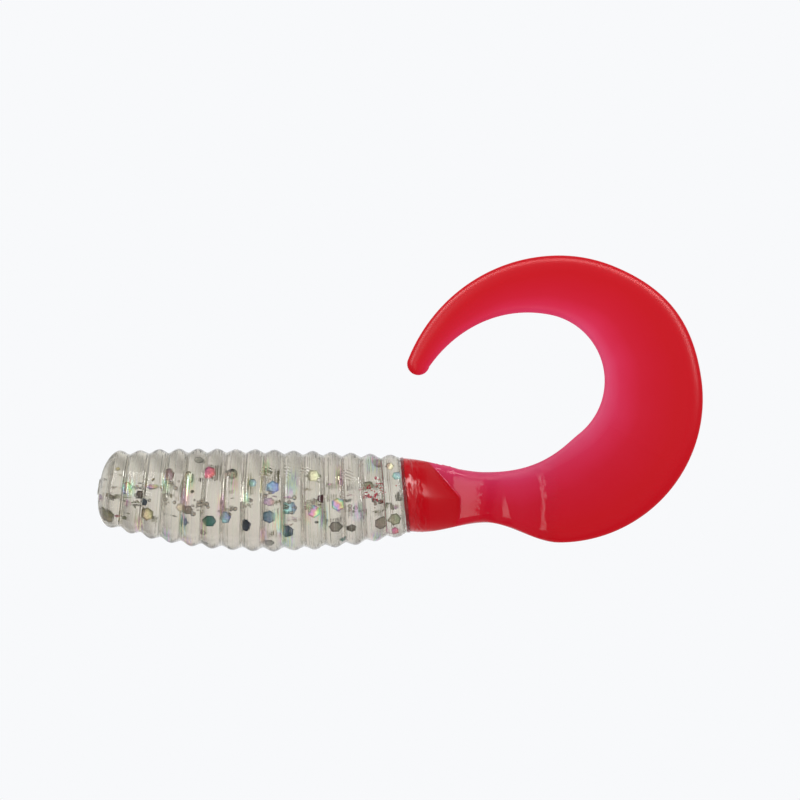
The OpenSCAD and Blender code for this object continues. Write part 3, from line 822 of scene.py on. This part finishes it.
# %% [markdown]
# ## Flakes
# The solids already have every flake in its place. Each one is copied, its two hexagons get a vertex
# in the middle, and it is given its colour. Those that show take the colour of the nearest spot in a
# list, and the others draw theirs.

# %% Painted colours of the film
# Painted reflection: each entry is the hue, spread, strength and lightness that the film throws back toward the
# camera; the dark ones stand for flakes that turn away from the light.
FILM_PAINTED_REFLECTIONS = {
    "pearl": (0.50, 1.3, 0.50, 1.0), "gold": (0.09, 0.1, 0.42, 0.62), "salmon": (0.01, 0.2, 0.36, 1.0),
    "rose": (0.93, 0.1, 0.72, 0.75), "green": (0.42, 0.1, 0.70, 0.20), "aqua": (0.48, 0.2, 0.50, 0.80),
    "blue": (0.58, 0.1, 0.60, 1.0), "steel": (0.56, 0.1, 0.55, 0.32), "navy": (0.56, 0.1, 0.60, 0.15),
    "violet": (0.74, 0.4, 0.30, 0.66), "cream": (0.14, 0.1, 0.26, 0.62), "brown": (0.06, 0.1, 0.28, 0.30),
    "olive": (0.14, 0.1, 0.32, 0.52), "mint": (0.42, 0.3, 0.40, 0.90), "lavender": (0.74, 0.2, 0.25, 1.0),
    "grey": (0.12, 0.1, 0.10, 0.45), "wine": (0.95, 0.1, 0.55, 0.35), "peach": (0.06, 0.2, 0.30, 0.8),
    "umber": (0.08, 0.1, 0.30, 0.14),
}
MUTED = ("brown", "cream", "gold", "grey", "olive", "pearl")
SPOTS = [
    ("brown", 0.6, 0.3), ("peach", 0.9, -1.9), ("pearl", 2.4, -0.1), ("gold", 3.9, -1.9),
    ("violet", 5.6, 0.8), ("salmon", 7.0, 0.6), ("aqua", 6.7, -2.4), ("rose", 8.7, 1.0),
    ("green", 8.7, -2.5), ("aqua", 9.9, -2.3), ("steel", 11.5, -2.8), ("blue", 13.4, -0.1),
    ("steel", 13.3, -2.2), ("navy", 14.6, -3.2), ("aqua", 14.9, -1.6), ("cream", 16.6, 0.8),
    ("pearl", 16.6, -1.8), ("pearl", 18.4, -1.3), ("brown", 18.4, -2.9), ("peach", 21.4, 1.6),
    ("brown", 21.8, -2.6), ("olive", 23.0, -2.3), ("mint", 12.0, 0.3), ("lavender", 18.8, 0.3),
    ("umber", 19.5, -3.0), ("mint", 23.0, 0.8), ("green", 18.9, -3.7), ("grey", 8.0, -3.3),
    ("grey", 8.4, -4.0), ("steel", 3.8, -1.1), ("brown", 3.2, -0.6), ("peach", 6.3, -1.5),
    ("peach", 22.5, 1.4), ("wine", 17.2, -0.9), ("violet", 13.3, -1.1), ("grey", 7.8, 1.8),
    ("grey", 13.3, -4.0), ("rose", 22.9, -3.3),
]
SPOT_REACH = 0.5


def film_at(centre, draw):
    """The colour of the nearest spot, or a drawn one on the far side and away from all spots."""
    name, x, z = min(SPOTS, key=lambda spot: math.hypot(centre.x / MM - spot[1], centre.z / MM - spot[2]))
    near = math.hypot(centre.x / MM - x, centre.z / MM - z) < SPOT_REACH and centre.y < 0
    drawn = draw.choice(MUTED)
    return FILM_PAINTED_REFLECTIONS[name if near else drawn]


print("colours of the film:", len(FILM_PAINTED_REFLECTIONS), "and spots:", len(SPOTS))

# %% Copy and colour the flakes
def islands(bm):
    left, found = set(bm.verts), []
    while left:
        grown = [left.pop()]
        for vert in grown:
            for edge in vert.link_edges:
                other = edge.other_vert(vert)
                if other in left:
                    left.remove(other)
                    grown.append(other)
        found.append((sum((v.co for v in grown), Vector()) / len(grown), grown))
    return sorted(found, key=lambda island: tuple(island[0]))


def colour_flakes(node, seed):
    draw = random.Random(seed)
    bm = bmesh.new()
    bm.from_mesh(frame["nodes"][node].data)
    bmesh.ops.remove_doubles(bm, verts=bm.verts, dist=1e-7)
    keys = ("hue", "spread", "strength", "light")
    layers = {key: bm.verts.layers.float.new("film_" + key) for key in keys + ("u", "rim")}
    bmesh.ops.dissolve_limit(bm, angle_limit=math.radians(1), verts=bm.verts, edges=bm.edges)
    hexagons = [face for face in bm.faces if len(face.verts) > 4]
    middles = set(bmesh.ops.poke(bm, faces=hexagons)["verts"])
    for centre, verts in islands(bm):
        tone = dict(zip(keys, film_at(centre, draw)))
        arms = [v.co - centre for v in verts]
        grating = max(arms, key=lambda arm: (round(arm.length, 7), tuple(arm))).normalized()
        for vert in verts:
            for key, value in tone.items():
                vert[layers[key]] = value
            vert[layers["u"]] = (vert.co - centre).dot(grating) / MM
            vert[layers["rim"]] = 0 if vert in middles else 1
    piece = finish_piece(bm, "holographic_" + node, film, 30)
    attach(piece, "lure_body")
    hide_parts(node)


for seed, node in enumerate(("large_flakes", "medium_flakes", "small_flakes")):
    colour_flakes(node, seed)

# %% [markdown]
# ## Studio
# The lure is shown on a pale ground. The world is that ground for the camera. Rays that go through
# plastic or bounce off a gloss see it as white sheets that hang all round with dimmer gaps between
# them, because clear plastic shows its shape only where it bends such lines. On the camera's side the
# sheets are dim, apart from a soft window behind the camera that lights up the flakes. Everything else
# gets a soft light, a little stronger from above. The floor lies well below, so the picture shows only
# the ground, and it fades into the ground at its rim.

# %% World
scene = bpy.context.scene
scene.view_settings.view_transform = "Standard"
GROUND = hex_colour("#F8F9FB")
SHEETS, GAP_LEVEL, FLOOR_GAP_LEVEL = 9, 0.45, 0.55
FRONT_LEVEL, WINDOW_LEVEL = 0.42, 0.85
SOFT_BELOW, SOFT_ABOVE = 0.80, 1.20


def sheet_level(tree, direction, gap):
    """The level of the sheets in a direction: 1 in the middle of a sheet, less in a gap."""
    unit = add_node(tree, "ShaderNodeVectorMath", {0: direction}, operation="NORMALIZE")
    parts = add_node(tree, "ShaderNodeSeparateXYZ", {"Vector": unit.outputs["Vector"]})
    azimuth = add_node(tree, "ShaderNodeMath", {
        0: parts.outputs["X"], 1: parts.outputs["Y"]}, operation="ARCTAN2")
    turns = add_node(tree, "ShaderNodeMath", {0: azimuth.outputs["Value"], 1: SHEETS}, operation="MULTIPLY")
    wave = add_node(tree, "ShaderNodeMath", {0: turns.outputs["Value"]}, operation="COSINE")
    level = add_node(tree, "ShaderNodeMapRange", {
        "Value": wave.outputs["Value"], "From Min": -1.0, "From Max": 0.6, "To Min": gap})
    behind = add_node(tree, "ShaderNodeMapRange", {
        "Value": parts.outputs["Y"], "From Min": -0.4, "From Max": 0.2, "To Min": FRONT_LEVEL})
    window = add_node(tree, "ShaderNodeMapRange", {
        "Value": parts.outputs["Y"], "From Min": -0.75, "From Max": -1.0, "To Max": WINDOW_LEVEL},
        interpolation_type="SMOOTHSTEP")
    level = add_node(tree, "ShaderNodeMath", {
        0: level.outputs["Result"], 1: behind.outputs["Result"], 2: window.outputs["Result"]},
        operation="MULTIPLY_ADD")
    return level.outputs["Value"]


def mirrored_rays(tree, path):
    """1 for rays that went through plastic or bounced off a gloss."""
    both = add_node(tree, "ShaderNodeMath", {
        0: path.outputs["Is Glossy Ray"], 1: path.outputs["Is Transmission Ray"]}, operation="MAXIMUM")
    return both.outputs["Value"]


world = bpy.data.worlds.new("pale_studio")
scene.world = world
world.use_nodes = True
tree = world.node_tree
tree.nodes.clear()
place = add_node(tree, "ShaderNodeTexCoord")
path = add_node(tree, "ShaderNodeLightPath")
parts = add_node(tree, "ShaderNodeSeparateXYZ", {"Vector": place.outputs["Generated"]})
soft = add_node(tree, "ShaderNodeMapRange", {
    "Value": parts.outputs["Z"], "From Min": -1.0, "To Min": SOFT_BELOW, "To Max": SOFT_ABOVE})
level = add_node(tree, "ShaderNodeMapRange", {
    "Value": mirrored_rays(tree, path), "To Min": soft.outputs["Result"],
    "To Max": sheet_level(tree, place.outputs["Generated"], GAP_LEVEL)})
level = add_node(tree, "ShaderNodeMapRange", {
    "Value": path.outputs["Is Camera Ray"], "To Min": level.outputs["Result"], "To Max": 1.0})
ground = add_node(tree, "ShaderNodeBackground", {"Color": GROUND, "Strength": level.outputs["Result"]})
add_node(tree, "ShaderNodeOutputWorld", {"Surface": ground.outputs["Background"]})
print(world.name, "has", SHEETS, "sheets")

# %% Floor
MIDDLE = Vector((0.0233, 0, 0.0067))
FLOOR_R, FLOOR_Z = 0.12, -0.04
paper, tree = new_material("pale_paper_floor")
place = add_node(tree, "ShaderNodeTexCoord")
centred = add_node(tree, "ShaderNodeMapping", {
    "Vector": place.outputs["Object"], "Location": (-MIDDLE.x, 0, -FLOOR_Z)})
far = add_node(tree, "ShaderNodeVectorMath", {0: centred.outputs["Vector"]}, operation="LENGTH")
fade = add_node(tree, "ShaderNodeMapRange", {
    "Value": far.outputs["Value"], "From Min": 0.45 * FLOOR_R, "From Max": 0.95 * FLOOR_R},
    interpolation_type="SMOOTHSTEP")
path = add_node(tree, "ShaderNodeLightPath")
mirrored = mirrored_rays(tree, path)
as_ground = add_node(tree, "ShaderNodeMath", {0: fade.outputs["Result"], 1: mirrored}, operation="MAXIMUM")
sheets = sheet_level(tree, centred.outputs["Vector"], FLOOR_GAP_LEVEL)
level = add_node(tree, "ShaderNodeMapRange", {"Value": mirrored, "To Min": 1.0, "To Max": sheets})
matt = add_node(tree, "ShaderNodeBsdfDiffuse", {"Color": hex_colour("#F4F5F7")})
glow = add_node(tree, "ShaderNodeEmission", {"Color": GROUND, "Strength": level.outputs["Result"]})
both = add_node(tree, "ShaderNodeMixShader", {
    0: as_ground.outputs["Value"], 1: matt.outputs["BSDF"], 2: glow.outputs["Emission"]})
add_node(tree, "ShaderNodeOutputMaterial", {"Surface": both.outputs["Shader"]})
bm = bmesh.new()
disc = bmesh.ops.create_circle(bm, cap_ends=True, segments=96, radius=FLOOR_R)
bmesh.ops.translate(bm, verts=disc["verts"], vec=(MIDDLE.x, 0, FLOOR_Z))
floor = finish_piece(bm, "floor", paper)

# %% [markdown]
# ## Lamps
# The world lights everything evenly, as in the photo. The softboxes show only in a gloss, and each is
# linked to the pieces that it is for. Three stand in an arch and give the soft band along the tail's
# rim, and a narrow one draws the streaks on the stem. Two tall ones make the rings of the body glint.

# %% Softboxes
def softbox(name, pieces, azimuth, elevation, width, height, radiance, distance=0.55):
    lamp = bpy.data.lights.new(name, "AREA")
    lamp.shape = "RECTANGLE"
    lamp.size, lamp.size_y = width, height
    lamp.energy = radiance * math.pi * width * height
    a, e = math.radians(azimuth), math.radians(elevation)
    toward = Vector((math.sin(a) * math.cos(e), -math.cos(a) * math.cos(e), math.sin(e)))
    holder = bpy.data.objects.new(name, lamp)
    holder.location = MIDDLE + distance * toward
    holder.rotation_euler = (-toward).to_track_quat("-Z", "Y").to_euler()
    holder.visible_diffuse = False
    shown_on = bpy.data.collections.new(name + "_shows_on")
    for piece in pieces:
        shown_on.objects.link(piece)
    holder.light_linking.receiver_collection = shown_on
    scene.collection.objects.link(holder)
    print(name, "gives", round(lamp.energy, 2), "W")


tail = [root_piece, curl_piece, tip_piece]
softbox("rim_left", tail, -46, 23, 0.15, 0.44, 17.0)
softbox("rim_top", tail, 0, 50, 0.80, 0.15, 17.0)
softbox("rim_right", tail, 45, 25, 0.15, 0.40, 17.0)
softbox("stem_strip", tail, -19, 2, 0.06, 0.40, 9.5)
softbox("left_strip", [body], -42, 25, 0.10, 0.60, 6.0)
softbox("right_strip", [body], 46, 25, 0.10, 0.60, 6.0)

# %% [markdown]
# ## Camera
# The photo looks square at the side of the lure from far away, so the camera has a long lens.

# %% Camera
FRAME_WIDTH, DISTANCE = 61.84 * MM, 0.5
camera = bpy.data.cameras.new("camera")
camera.sensor_width = 36
camera.lens = camera.sensor_width * DISTANCE / FRAME_WIDTH
print("focal length of the lens:", round(camera.lens), "mm")
view = bpy.data.objects.new("camera", camera)
view.location = MIDDLE - Vector((0, DISTANCE, 0))
view.rotation_euler = (math.pi / 2, 0, 0)
scene.collection.objects.link(view)
scene.camera = view
